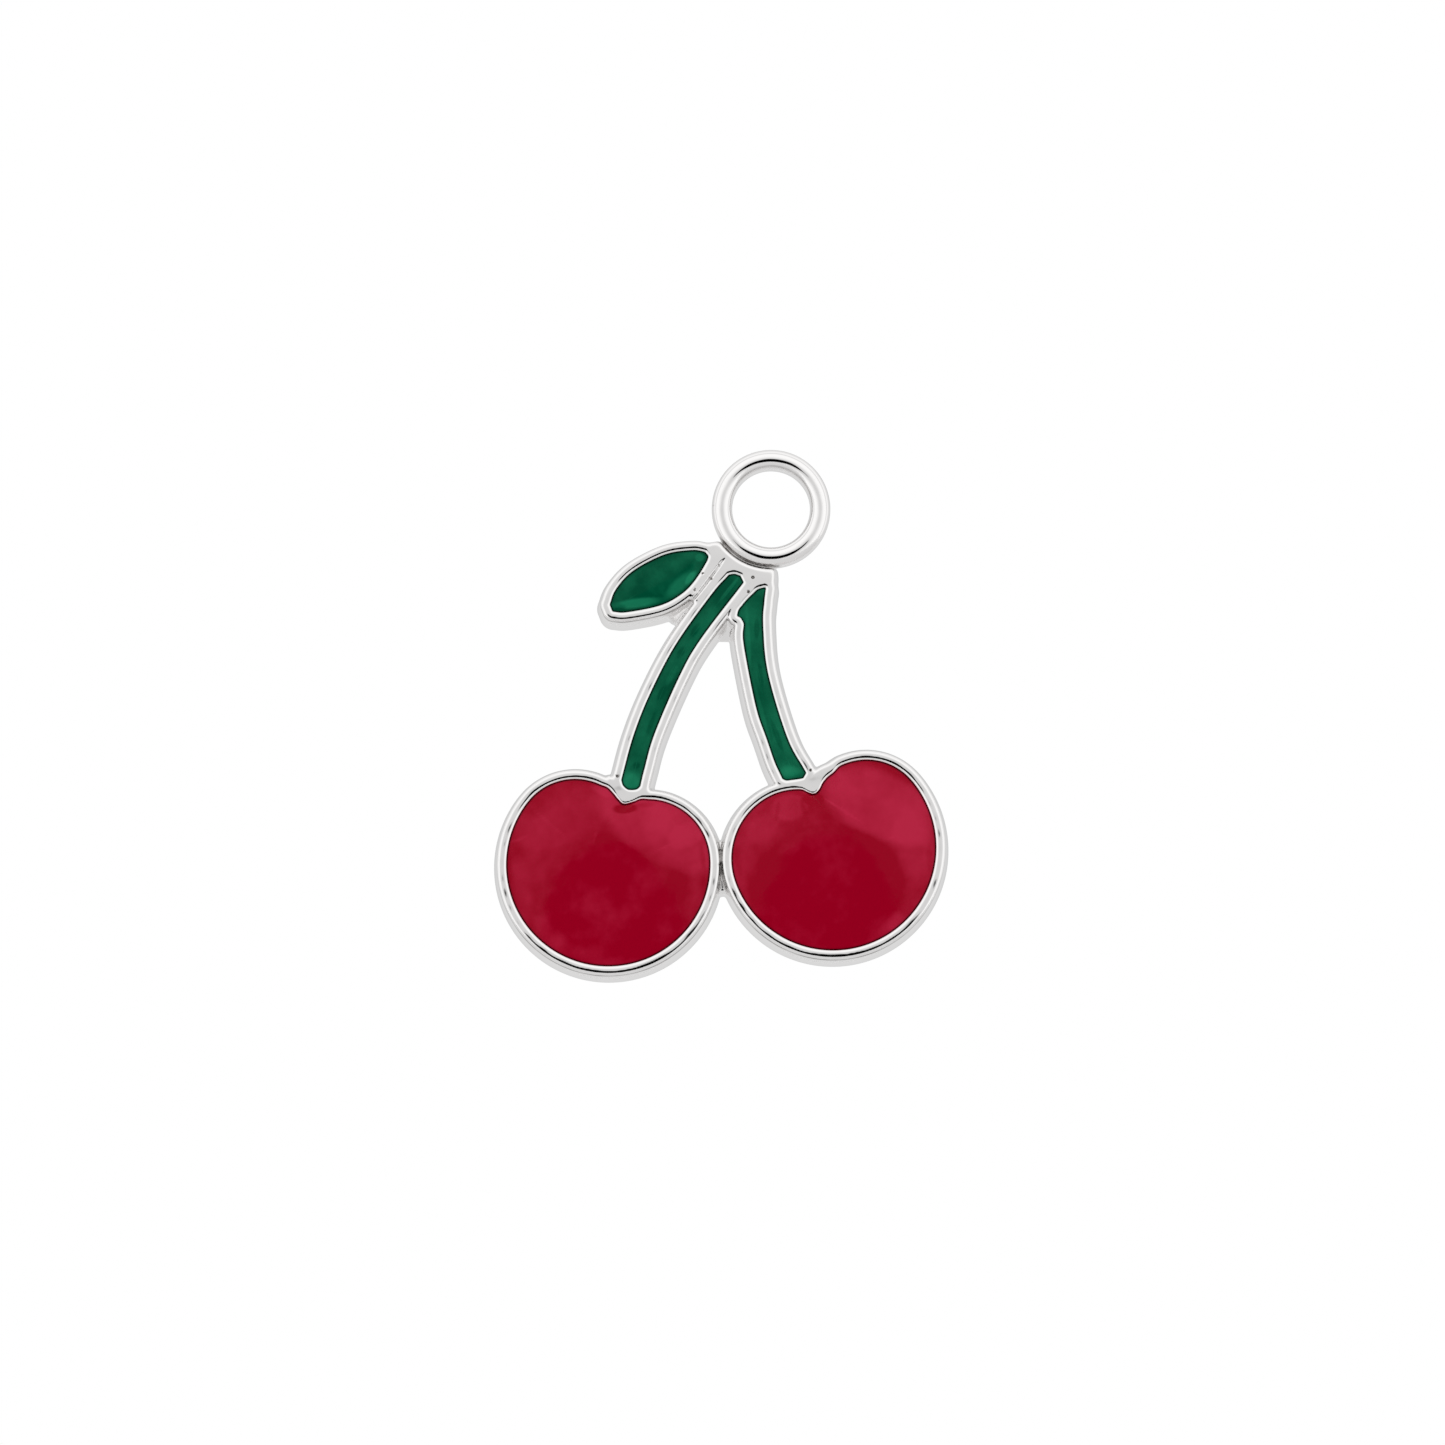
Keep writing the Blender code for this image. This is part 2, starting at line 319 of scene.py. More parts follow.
@dataclass
class Skin:
    """A mesh skinned over a field, and its smooth normals."""

    points: np.ndarray
    quads: np.ndarray

    @classmethod
    def over(cls, values: np.ndarray, axes: tuple[np.ndarray, ...]) -> "Skin":
        """Skin the zero level of a sampled field with one point in each crossed cell.

        Args:
            values: Field samples along X, Y and Z, negative inside.
            axes: Places of the samples along each axis.

        Returns:
            The skin, with quads facing out.
        """
        cells = np.array(values.shape) - 1
        strides = np.array([cells[1] * cells[2], cells[2], 1])
        inside = values < 0
        ids, places, faces = [], [], []
        for axis in range(3):
            near = [slice(None)] * 3
            far = [slice(None)] * 3
            near[axis], far[axis] = slice(0, -1), slice(1, None)
            crossed = np.argwhere(inside[tuple(near)] != inside[tuple(far)])
            other = [a for a in range(3) if a != axis]
            keep = ((crossed[:, other] > 0) & (crossed[:, other] < cells[other])).all(1)
            crossed = crossed[keep]
            ahead = crossed.copy()
            ahead[:, axis] += 1
            first, second = values[tuple(crossed.T)], values[tuple(ahead.T)]
            place = np.stack([axes[a][crossed[:, a]] for a in range(3)], 1).astype(float)
            place[:, axis] += (axes[axis][ahead[:, axis]] - place[:, axis]) * first / (first - second)
            corner = crossed @ strides
            b, c = strides[other[0]], strides[other[1]]
            around = np.stack([corner - b - c, corner - c, corner, corner - b], 1)
            flip = (first < 0) ^ (axis == 1)
            around = np.where(flip[:, None], around, around[:, ::-1])
            ids.append(around.ravel())
            places.append(np.repeat(place, 4, axis=0))
            faces.append(around)
        ids = np.concatenate(ids)
        kept, index = np.unique(ids, return_inverse=True)
        index = index.reshape(-1)
        count = np.bincount(index)
        together = np.concatenate(places)
        points = np.stack([np.bincount(index, together[:, a]) / count for a in range(3)], 1)
        quads = np.searchsorted(kept, np.concatenate(faces))
        return cls(points, quads)


@dataclass
class HangingRing:
    """The ring at the top: a round bead on a band with slightly barrelled walls."""

    eye_radius: float = 1.62
    bead_inner: float = 1.72
    bead_outer: float = 2.37
    outer_radius: float = 2.47
    crown: float = 0.20
    back_y: float = 0.50
    middle_z: float = 0.09

    def reach(self, x: np.ndarray, z: np.ndarray) -> np.ndarray:
        """Distance from the eye's axis."""
        return np.hypot(x, z - self.middle_z)

    def field(self, rho: np.ndarray, y: np.ndarray, crest_y: float) -> np.ndarray:
        """Field of the ring.

        Args:
            rho: Distance from the eye's axis.
            y: Depth.
            crest_y: Depth of the ring's crest.

        Returns:
            The field.
        """
        middle, half = (crest_y + self.back_y) / 2, (self.back_y - crest_y) / 2
        barrel = np.clip(1.0 - ((y - middle) / half) ** 2, 0.0, 1.0)
        outer = self.bead_outer + (self.outer_radius - self.bead_outer) * barrel
        inner = self.bead_inner - (self.bead_inner - self.eye_radius) * barrel
        inwards = np.minimum(outer - rho, rho - inner)
        half_width = (self.bead_outer - self.bead_inner) / 2
        front = rounded_edge(inwards, y - crest_y, half_width, self.crown)
        back = rounded_edge(inwards, self.back_y - y, half_width * 0.8, self.crown * 0.6)
        return np.maximum(front, back)


@dataclass
class LowWeb:
    """A low bridge of metal behind the rims, which may slope away downwards."""

    knots: Knots
    top_y: float
    slant: float = 0.0

    def outline(self) -> Outline:
        """The web's outline, with its corners kept."""
        return Outline.through(np.array(self.knots), steps=3, corner_degrees=20.0)

    def behind(self, y: np.ndarray, z: np.ndarray) -> np.ndarray:
        """Distance behind the web's sloping face."""
        fall = self.slant * (self.knots[0][1] - z)
        return (y - self.top_y - fall) / math.hypot(1.0, self.slant)


@dataclass
class Casting:
    """The charm's one casting: rims and walls around the cells, plateau, webs, ring and flat back.

    Lips are the places where the metal juts into a cherry, and gussets fill the metal behind them. Pits and
    stains are (x, z, radius) rows, and groove lines are (radius, width, strength) rows of painted shade
    around the ring.
    """

    fills: dict[str, Outline]
    crest_y: float
    back_y: float
    finish: bpy.types.Material
    fit_gap: float = 0.025
    cell_depth: float = 0.55
    rim_width: float = 0.40
    rim_across: float = 0.20
    rim_deep: float = 0.14
    rim_power: float = 3.0
    flare: float = 0.18
    fillet: float = 0.10
    ring_fillet: float = 0.04
    shoulder_edge: float = 0.15
    web_edge: float = 0.15
    back_edge: float = 0.06
    seam_depth: float = 0.07
    seam_width: float = 0.10
    pitch: float = 0.05
    thinning: float = 0.93
    ring: HangingRing = field(default_factory=HangingRing)
    plateau: Knots = (
        (-2.60, -1.44), (-2.12, -1.36), (-1.20, -1.60), (0.00, -1.90), (0.14, -2.62), (0.05, -3.60),
        (-1.30, -4.20), (-2.40, -4.30), (-3.20, -3.90), (-3.60, -3.40), (-3.00, -2.10),
    )
    ring_clearance: float = 2.58
    webs: tuple[LowWeb, ...] = (
        LowWeb(((-2.60, -4.45), (-2.10, -5.27), (-1.60, -5.27), (-1.25, -4.45)), -0.50, 1.4),
        LowWeb(((-4.60, -3.95), (-4.10, -4.52), (-3.80, -4.62), (-3.05, -3.50)), -0.50, 1.1),
        LowWeb(((-2.32, -13.82), (-2.36, -15.92), (-1.74, -15.92), (-1.83, -13.82)), -0.30),
        LowWeb(((-2.22, -1.34), (-2.20, -1.95), (0.05, -2.75), (0.02, -2.10), (-1.20, -1.90)), -0.55),
    )
    lips: Knots = ((-6.00, -12.05), (1.72, -11.62))
    lip_reach: float = 0.60
    lip_tightening: float = 0.5
    gussets: tuple[Knots, ...] = (
        (
            (0.90, -12.00), (1.10, -11.30), (1.60, -11.02), (2.00, -10.76), (2.50, -10.54), (2.90, -10.95),
            (2.40, -11.90), (1.70, -12.30),
        ),
        (
            (-7.20, -11.80), (-6.95, -11.40), (-6.75, -11.12), (-6.40, -11.20), (-6.00, -11.40),
            (-5.30, -11.45), (-4.95, -11.85), (-4.90, -12.30), (-6.05, -12.70),
        ),
    )
    # Thin lines of painted shade around the ring's foot, and one just inside its eye.
    groove_lines: Spots = ((2.45, 0.035, 1.0), (2.57, 0.03, 0.5))
    eye_line: float = 1.71
    stains: Spots = ((-2.14, -14.82, 0.055), (0.14, -11.44, 0.045), (-4.98, -11.67, 0.05))
    pits: Spots = (
        (-0.76, -2.86, 0.06), (-0.95, -3.46, 0.05), (-2.16, -2.35, 0.05), (-2.49, -2.92, 0.045),
        (-3.18, -3.38, 0.04), (-2.84, -2.68, 0.04), (1.63, -10.90, 0.05), (-6.37, -11.15, 0.05),
    )

    def plan(self) -> FacePlan:
        """Draw the distances over the face that the field is made from.

        Returns:
            The plan, with the maps cell, outer, lip, seam and one for each web.
        """
        low, high = (np.array((corner.x, corner.z)) / MM for corner in CAD_BOX)
        plan = FacePlan(low - 0.3, high + 0.3, self.pitch)
        cells = {name: plan.distance(outline) - self.fit_gap for name, outline in self.fills.items()}
        rims = [cell - self.rim_width for cell in cells.values()]
        grid_x, grid_z = np.meshgrid(plan.x, plan.z, indexing="ij")
        rho = self.ring.reach(grid_x, grid_z)
        shoulder = plan.distance(Outline.through(np.array(self.plateau)[::-1], corner_degrees=60.0))
        outer = smooth_cut(shoulder, self.ring_clearance - rho, self.shoulder_edge)
        gussets = [Outline.through(np.array(knots), corner_degrees=60.0) for knots in self.gussets]
        for rim in rims + [plan.distance(gusset) for gusset in gussets]:
            outer = smooth_union(outer, rim, self.fillet)
        plan.maps["cell"] = np.minimum.reduce(list(cells.values()))
        plan.maps["outer"] = outer
        plan.maps["lip"] = np.maximum.reduce([
            np.exp(-(((grid_x - x) ** 2 + (grid_z - z) ** 2) / self.lip_reach**2)) for x, z in self.lips
        ])
        leaf, stalk = cells["enamel_leaf"], cells["enamel_stalk_left"]
        both = np.exp(-((np.maximum(np.maximum(leaf, stalk) - 0.50, 0.0) / 0.12) ** 2))
        plan.maps["seam"] = np.exp(-(((leaf - stalk) / self.seam_width) ** 2)) * both
        for number, web in enumerate(self.webs):
            plan.maps[f"web_{number}"] = plan.distance(web.outline())
        return plan

    def depths(self) -> np.ndarray:
        """Space the samples in depth, close together where the face and the back turn.

        Returns:
            Depths along Y.
        """
        steps = [0.045] * 9 + [0.08, 0.13, 0.16, 0.12, 0.08, 0.06, 0.06, 0.08, 0.12, 0.16, 0.16, 0.14, 0.08]
        rows = self.crest_y - 0.065 + np.concatenate([[0.0], np.cumsum(steps)])
        last = self.back_y - 0.08
        return np.concatenate([rows[rows < last - 0.05], last + np.arange(4) * 0.05])

    def waviness(self, x: np.ndarray, z: np.ndarray) -> np.ndarray:
        """Slight unevenness of the hand-polished surface.

        Args:
            x: Places along X.
            z: Places along Z.

        Returns:
            How far the surface lies behind its even place.
        """
        broad = np.sin(2.3 * x + 1.1 * z + 0.4) * np.sin(1.7 * z - 0.9 * x + 1.3)
        fine = np.sin(4.9 * x - 3.7 * z + 2.0) * np.sin(5.7 * z + 2.9 * x)
        return 0.0050 * broad + 0.0014 * fine

    def field(self, maps: dict[str, np.ndarray], x: np.ndarray, y: np.ndarray, z: np.ndarray) -> np.ndarray:
        """The casting's field.

        Args:
            maps: Face distances at the same places.
            x: Places along X.
            y: Places along Y.
            z: Places along Z.

        Returns:
            The field, negative inside the metal.
        """
        face = y - self.crest_y - self.waviness(x, z) - self.seam_depth * maps["seam"]
        depth = np.clip((y - self.crest_y - self.rim_deep) / (self.back_y - self.crest_y), 0.0, 1.0)
        lean = self.flare * (1.0 - (1.0 - depth) ** 2)
        outer = rounded_edge(lean - maps["outer"], face, self.rim_across, self.rim_deep, self.rim_power)
        across = self.rim_across * (1.0 - self.lip_tightening * maps["lip"])
        rim = rounded_edge(maps["cell"], face, across, self.rim_deep, self.rim_power)
        body = np.maximum(outer, np.minimum(rim, self.crest_y + self.cell_depth - y))
        ring = self.ring.field(self.ring.reach(x, z), y - self.waviness(x, z), self.crest_y)
        body = smooth_union(body, ring, self.ring_fillet)
        for number, web in enumerate(self.webs):
            inwards = lean * 0.5 - maps[f"web_{number}"]
            low = rounded_edge(inwards, web.behind(y, z), self.web_edge, self.web_edge)
            body = smooth_union(body, low, self.fillet)
        hollow = np.maximum(maps["cell"], y - self.crest_y - self.cell_depth)
        body = np.maximum(body, -hollow)
        for pit_x, pit_z, radius in self.pits:
            away = np.sqrt((x - pit_x) ** 2 + (z - pit_z) ** 2 + (y - self.crest_y) ** 2)
            body = np.maximum(body, radius - away)
        return smooth_cut(body, y - self.back_y, self.back_edge)

    def grime(self, plan: FacePlan, places: np.ndarray) -> np.ndarray:
        """How much painted shade, in the creases, grooves and cell walls, and polish residues, in the pits
        and stains, sits at each place.

        Args:
            plan: The face plan.
            places: Places on the casting.

        Returns:
            Shares from 0 to 1.
        """
        x, y, z = places.T
        behind = y - self.crest_y
        lines = (*self._creases(plan, x, z, behind), *self._ring_lines(plan, x, z, behind))
        return np.clip(np.maximum.reduce([*lines, self._spots(x, z, behind)]), 0.0, 1.0)

    def _creases(
        self, plan: FacePlan, x: np.ndarray, z: np.ndarray, behind: np.ndarray
    ) -> tuple[np.ndarray, ...]:
        """Shade under the rims, at the tie's foot, down the cells and in the seam.

        Args:
            plan: The face plan.
            x: Places along X.
            z: Places along Z.
            behind: Distances behind the crest.

        Returns:
            One share for each kind of crease.
        """
        outer, cell = plan.at("outer", x, z), plan.at("cell", x, z)
        # Painted shade: under the rims, most where a rim faces down; at the tie's foot; down the cell walls;
        # and in the seam.
        downward = (plan.at("outer", x, z - 0.1) - plan.at("outer", x, z + 0.1)) / 0.2
        under = np.exp(-(((behind - self.rim_deep - 0.07) / 0.075) ** 2)) * (outer > -0.05)
        under = under * (0.15 + 0.85 * np.clip(downward * 1.5, 0.0, 1.0))
        tie = np.clip((0.10 - plan.at("web_2", x, z)) / 0.1, 0.0, 1.0) * (behind > 0.3) * (behind < 1.2)
        foot = 0.75 * tie * np.exp(-(((outer - 0.04) / 0.045) ** 2))
        well = np.clip((behind - 0.10) / 0.05, 0.0, 1.0) * (cell < 0.03) * (behind < self.cell_depth + 0.1)
        seam = 0.5 * plan.at("seam", x, z) * (behind < 0.3)
        return under, foot, well, seam

    def _ring_lines(
        self, plan: FacePlan, x: np.ndarray, z: np.ndarray, behind: np.ndarray
    ) -> tuple[np.ndarray, np.ndarray]:
        """Thin lines of shade around the ring's foot and just inside its eye.

        Args:
            plan: The face plan.
            x: Places along X.
            z: Places along Z.
            behind: Distances behind the crest.

        Returns:
            The shares of the groove and of the eye's line.
        """
        rho = self.ring.reach(x, z)
        groove = np.zeros_like(rho)
        for radius, width, strength in self.groove_lines:
            groove += strength * np.exp(-(((rho - radius) / width) ** 2))
        groove = groove * np.clip((0.3 - plan.at("outer", x, z)) / 0.1, 0.0, 1.0) * (behind < 0.7)
        upwards = (z - self.ring.middle_z) / np.maximum(rho, 1e-6)
        eye = np.exp(-(((rho - self.eye_line - 0.03 * upwards) / 0.03) ** 2))
        return groove, (0.45 + 0.25 * upwards) * eye * (behind < 0.6)

    def _spots(self, x: np.ndarray, z: np.ndarray, behind: np.ndarray) -> np.ndarray:
        """Residue in the pits and the stains.

        Args:
            x: Places along X.
            z: Places along Z.
            behind: Distances behind the crest.

        Returns:
            Shares from 0 to 1.
        """
        spots = np.zeros_like(x)
        for pit_x, pit_z, radius in self.pits:
            spots = np.maximum(spots, np.hypot(x - pit_x, z - pit_z) < radius * 1.1)
        spots = spots * (behind < 0.2)
        for stain_x, stain_z, radius in self.stains:
            stain = np.exp(-(((x - stain_x) ** 2 + (z - stain_z) ** 2) / radius**2))
            spots = np.maximum(spots, stain * (behind < 0.7))
        return spots

    def sample(self, plan: FacePlan, places: np.ndarray) -> np.ndarray:
        """Read the field at scattered places.

        Args:
            plan: The face plan.
            places: Places as (x, y, z) rows.

        Returns:
            One value for each place.
        """
        x, y, z = places.T
        maps = {name: plan.at(name, x, z) for name in plan.maps}
        return self.field(maps, x, y, z)

    def slope(self, plan: FacePlan, places: np.ndarray, reach: float = 0.015) -> np.ndarray:
        """Find the field's gradient at scattered places.

        Args:
            plan: The face plan.
            places: Places as (x, y, z) rows.
            reach: Half the step of the difference.

        Returns:
            One gradient for each place.
        """
        columns = []
        for axis in range(3):
            step = np.zeros(3)
            step[axis] = reach
            ahead, behind = self.sample(plan, places + step), self.sample(plan, places - step)
            columns.append((ahead - behind) / (2 * reach))
        return np.stack(columns, 1)

    def settle(self, plan: FacePlan, places: np.ndarray, rounds: int = 2) -> np.ndarray:
        """Move scattered places onto the field's surface.

        Args:
            plan: The face plan.
            places: Places as (x, y, z) rows, near the surface.
            rounds: How many times they are moved.

        Returns:
            The moved places.
        """
        for _ in range(rounds):
            slope = self.slope(plan, places)
            size = np.maximum((slope**2).sum(1), 0.05)
            step = (self.sample(plan, places) / size)[:, None] * slope
            length = np.linalg.norm(step, axis=1, keepdims=True)
            places = places - step * np.minimum(1.0, 0.5 * self.pitch / np.maximum(length, 1e-9))
        return places

    def skin(self, plan: FacePlan) -> Skin:
        """Skin the field with a fine, even mesh.

        Args:
            plan: The face plan.

        Returns:
            The skin, in millimetres.
        """
        axes = (plan.x, self.depths(), plan.z)
        maps = {name: values[:, None, :].astype(np.float32) for name, values in plan.maps.items()}
        x, y, z = np.ix_(*(axis.astype(np.float32) for axis in axes))
        skin = Skin.over(self.field(maps, x, y, z), axes)
        return Skin(self.settle(plan, skin.points), skin.quads)

    def thinned(self, plan: FacePlan, skin: Skin) -> bpy.types.Mesh:
        """Turn the skin into a mesh with fewer faces on the flat back and under the enamel.

        Args:
            plan: The face plan.
            skin: The fine skin.

        Returns:
            The mesh, in metres.
        """
        rough = mesh_object("casting_rough", skin.points * MM, skin.quads)
        behind = skin.points[:, 1] - self.crest_y
        cell = plan.at("cell", skin.points[:, 0], skin.points[:, 2])
        floor = (np.abs(behind - self.cell_depth) < 0.02) & (cell < -0.06)
        hidden = floor | (skin.points[:, 1] > self.back_y - 0.004)
        flat = rough.vertex_groups.new(name="flat")
        flat.add(np.flatnonzero(hidden).tolist(), 1.0, "REPLACE")
        thin = rough.modifiers.new("thin", "DECIMATE")
        thin.vertex_group = flat.name
        thin.ratio = 1.0 - self.thinning * hidden.mean()
        evaluated = rough.evaluated_get(bpy.context.evaluated_depsgraph_get())
        data = bpy.data.meshes.new_from_object(evaluated)
        bpy.data.objects.remove(rough, do_unlink=True)
        data.name = "charm_casting"
        return data

    def build(self) -> bpy.types.Object:
        """Skin the casting, thin its flat stretches, and finish it.

        Returns:
            The casting's object.
        """
        plan = self.plan()
        skin = self.skin(plan)
        log.info("casting skin: %d points, %d quads", len(skin.points), len(skin.quads))
        data = self.thinned(plan, skin)
        places = np.empty(len(data.vertices) * 3)
        data.vertices.foreach_get("co", places)
        places = places.reshape(-1, 3) / MM
        slope = self.slope(plan, places)
        normals = slope / np.maximum(np.linalg.norm(slope, axis=1, keepdims=True), 1e-9)
        data.shade_smooth()
        data.normals_split_custom_set_from_vertices(normals.tolist())
        # Painted shade in the creases and polish residues in the pits and stains, as one value on each
        # vertex.
        paint_values(data, "grime", self.grime(plan, places))
        data.materials.append(self.finish)
        casting = bpy.data.objects.new(data.name, data)
        bpy.context.scene.collection.objects.link(casting)
        return casting


def mesh_object(name: str, places: np.ndarray, faces: np.ndarray | list) -> bpy.types.Object:
    """Make a smooth mesh object.

    Args:
        name: The object's name.
        places: Vertices, in metres.
        faces: Corner indices of each face.

    Returns:
        The object, linked to the scene.
    """
    data = bpy.data.meshes.new(name)
    data.from_pydata(places.tolist(), [], faces.tolist() if isinstance(faces, np.ndarray) else faces)
    data.shade_smooth()
    item = bpy.data.objects.new(name, data)
    bpy.context.scene.collection.objects.link(item)
    return item


def paint_values(data: bpy.types.Mesh, name: str, values: np.ndarray) -> None:
    """Store one value on each vertex, for a material to read."""
    layer = data.attributes.new(name, "FLOAT", "POINT")
    layer.data.foreach_set("value", values.astype(np.float32))


@dataclass(frozen=True)
class TonePatch:
    """A lighter or darker patch in the enamel, as a soft leaning ellipse in millimetres."""

    x: float
    z: float
    wide: float
    high: float
    strength: float
    lean: float = 0.0
    soft: float = 1.0

    def over(self, x: np.ndarray, z: np.ndarray) -> np.ndarray:
        """Find the patch's strength at each place.

        Args:
            x: Places along X.
            z: Places along Z.

        Returns:
            Strengths, which fade to 0 outside the ellipse.
        """
        turn = math.radians(self.lean)
        across = (x - self.x) * math.cos(turn) + (z - self.z) * math.sin(turn)
        up = (z - self.z) * math.cos(turn) - (x - self.x) * math.sin(turn)
        reach = np.sqrt((across / self.wide) ** 2 + (up / self.high) ** 2)
        share = np.clip((1.0 + 0.5 * self.soft - reach) / self.soft, 0.0, 1.0)
        return self.strength * share * share * (3 - 2 * share)


@dataclass
class EnamelFill:
    """One glassy fill: upright sides, a tight round edge, and a domed face."""

    node: str
    outline: Outline
    finish: bpy.types.Material
    rise: float
    spine: Knots
    edge_y: float
    floor_y: float
    tone_patches: tuple[TonePatch, ...] = ()
    base_milk: float = 0.12
    edge_round: float = 0.03
    edge_shade: float = 0.04
    grow: float = 0.018
    ripple: float = 0.006
    rings: int = 44

    def build(self) -> bpy.types.Object:
        """Loft the face from the outline to the spine, and finish it.

        Returns:
            The fill's object.
        """
        rim = self.outline.grown(self.grow).points
        inner = self._toward_spine(rim)
        reach = np.linalg.norm(inner - rim, axis=1)
        shares = np.concatenate([[0.0, 0.0], (np.arange(1, self.rings) / self.rings) ** 1.5])
        count = len(rim)
        places, shade = [], []
        for number, share in enumerate(shares):
            ring = rim + (inner - rim) * share
            y = self._face_y(ring, share)
            if number < 2:
                y = np.full(count, (self.floor_y, self.edge_y + self.edge_round)[number])
            places.append(np.stack([ring[:, 0], y, ring[:, 1]], 1))
            # Painted shade along the fill's edge, where the metal rim shades it, fading inward.
            shade.append(np.exp(-((share * reach / self.edge_shade) ** 2)))
        places, shade = np.concatenate(places), np.concatenate(shade)
        around = np.arange(count)
        following = np.roll(around, -1)
        faces = [around.tolist()]
        for ring in range(len(shares) - 1):
            base, above = ring * count, (ring + 1) * count
            corners = (base + around, above + around, above + following, base + following)
            faces += np.stack(corners, 1).tolist()
        faces.append(((len(shares) - 1) * count + around[::-1]).tolist())
        item = mesh_object(self.node.replace("enamel_", "fill_"), places * MM, faces)
        item.data.set_sharp_from_angle(angle=math.radians(50))
        # Milkiness of the enamel, with the painted light and painted shade of the patches added to it.
        milk = np.full(len(places), self.base_milk)
        for tone_patch in self.tone_patches:
            milk = milk + tone_patch.over(places[:, 0], places[:, 2])
        paint_values(item.data, "milk", np.clip(milk, 0.0, 1.0))
        paint_values(item.data, "edge", shade)
        item.data.materials.append(self.finish)
        return item

    def _toward_spine(self, rim: np.ndarray) -> np.ndarray:
        """Find the nearest place on the spine for each rim point.

        Args:
            rim: Points of the rim.

        Returns:
            One place for each point.
        """
        spine = np.array(self.spine)
        if len(spine) == 1:
            return np.repeat(spine, len(rim), 0)
        start, run = spine[:-1], spine[1:] - spine[:-1]
        t = np.clip(((rim[:, None] - start) * run).sum(2) / (run**2).sum(1), 0, 1)
        places = start + t[..., None] * run
        nearest = ((rim[:, None] - places) ** 2).sum(2).argmin(1)
        return places[np.arange(len(rim)), nearest]

    def _face_y(self, ring: np.ndarray, share: float) -> np.ndarray:
        """Find the depth of the domed face along one ring.

        Args:
            ring: Points of the ring.
            share: How far the ring lies on the way from the rim to the spine.

        Returns:
            One depth for each point.
        """
        dome = self.rise * (1.0 - (1.0 - share) ** 2)
        x, z = ring.T
        ripples = np.sin(1.3 * x + 0.7 * z) * np.sin(1.1 * z - 0.5 * x + 1.0)
        ripples = ripples + 0.4 * np.sin(2.9 * x - 1.7 * z + 0.5) * np.sin(3.1 * z + 1.2 * x)
        return self.edge_y - dome - self.ripple * ripples * min(1.0, 4 * share)


def new_node(tree: bpy.types.NodeTree, kind: str, **settings) -> bpy.types.Node:
    """Add a node.

    Args:
        tree: The node tree.
        kind: The node's type.
        **settings: Properties of the node, and values of its inputs by lower-case name.

    Returns:
        The node.
    """
    node = tree.nodes.new(kind)
    for name, value in settings.items():
        if hasattr(node, name):
            setattr(node, name, value)
        else:
            node.inputs[name.replace("_", " ").title()].default_value = value
    return node


class HandFinish:
    """Node group for the fine unevenness of a hand-finished surface, shared by metal and enamel."""

    name = "hand_finish"

    @classmethod
    def tree(cls) -> bpy.types.NodeTree:
        """The group, built once.

        Returns:
            A tree with inputs Broad Scale, Fine Scale and Fine Share, and outputs Height and Patches.
        """
        if cls.name in bpy.data.node_groups:
            return bpy.data.node_groups[cls.name]
        tree = bpy.data.node_groups.new(cls.name, "ShaderNodeTree")
        for label, value in (("Broad Scale", 900.0), ("Fine Scale", 6000.0), ("Fine Share", 0.2)):
            socket = tree.interface.new_socket(label, in_out="INPUT", socket_type="NodeSocketFloat")
            socket.default_value = value
        for label in ("Height", "Patches"):
            tree.interface.new_socket(label, in_out="OUTPUT", socket_type="NodeSocketFloat")
        given = tree.nodes.new("NodeGroupInput")
        result = tree.nodes.new("NodeGroupOutput")
        place = tree.nodes.new("ShaderNodeTexCoord")
        broad = new_node(tree, "ShaderNodeTexNoise", detail=2.0, roughness=0.5)
        fine = new_node(tree, "ShaderNodeTexNoise", detail=3.0, roughness=0.6)
        for texture, label in ((broad, "Broad Scale"), (fine, "Fine Scale")):
            tree.links.new(place.outputs["Object"], texture.inputs["Vector"])
            tree.links.new(given.outputs[label], texture.inputs["Scale"])
        share = tree.nodes.new("ShaderNodeMath")
        share.operation = "MULTIPLY_ADD"
        tree.links.new(fine.outputs["Fac"], share.inputs[0])
        tree.links.new(given.outputs["Fine Share"], share.inputs[1])
        tree.links.new(broad.outputs["Fac"], share.inputs[2])
        tree.links.new(share.outputs[0], result.inputs["Height"])
        patches = new_node(tree, "ShaderNodeMapRange")
        patches.inputs["From Min"].default_value = 0.38
        patches.inputs["From Max"].default_value = 0.62
        tree.links.new(broad.outputs["Fac"], patches.inputs["Value"])
        tree.links.new(patches.outputs["Result"], result.inputs["Patches"])
        return tree

    @classmethod
    def place(cls, tree: bpy.types.NodeTree, broad: float, fine: float, share: float) -> bpy.types.Node:
        """Put the group in a material.

        Args:
            tree: The material's tree.
            broad: Scale of the broad unevenness.
            fine: Scale of the fine unevenness.
            share: How much the fine part counts.

        Returns:
            The group's node.
        """
        node = tree.nodes.new("ShaderNodeGroup")
        node.node_tree = cls.tree()
        for label, value in (("Broad Scale", broad), ("Fine Scale", fine), ("Fine Share", share)):
            node.inputs[label].default_value = value
        return node


def mix_colours(
    tree: bpy.types.NodeTree,
    first: Colour | bpy.types.NodeSocket,
    second: Colour,
    share: bpy.types.NodeSocket,
) -> bpy.types.NodeSocket:
    """Mix two colours by a share that changes over the surface.

    Args:
        tree: The material's tree.
        first: Colour where the share is 0, or the socket that gives it.
        second: Colour where the share is 1.
        share: Socket of the share.

    Returns:
        The mixed colour's socket.
    """
    mix = tree.nodes.new("ShaderNodeMix")
    mix.data_type = "RGBA"
    tree.links.new(share, mix.inputs["Factor"])
    if isinstance(first, tuple):
        mix.inputs[6].default_value = (*first, 1.0)
    else:
        tree.links.new(first, mix.inputs[6])
    mix.inputs[7].default_value = (*second, 1.0)
    return mix.outputs[2]


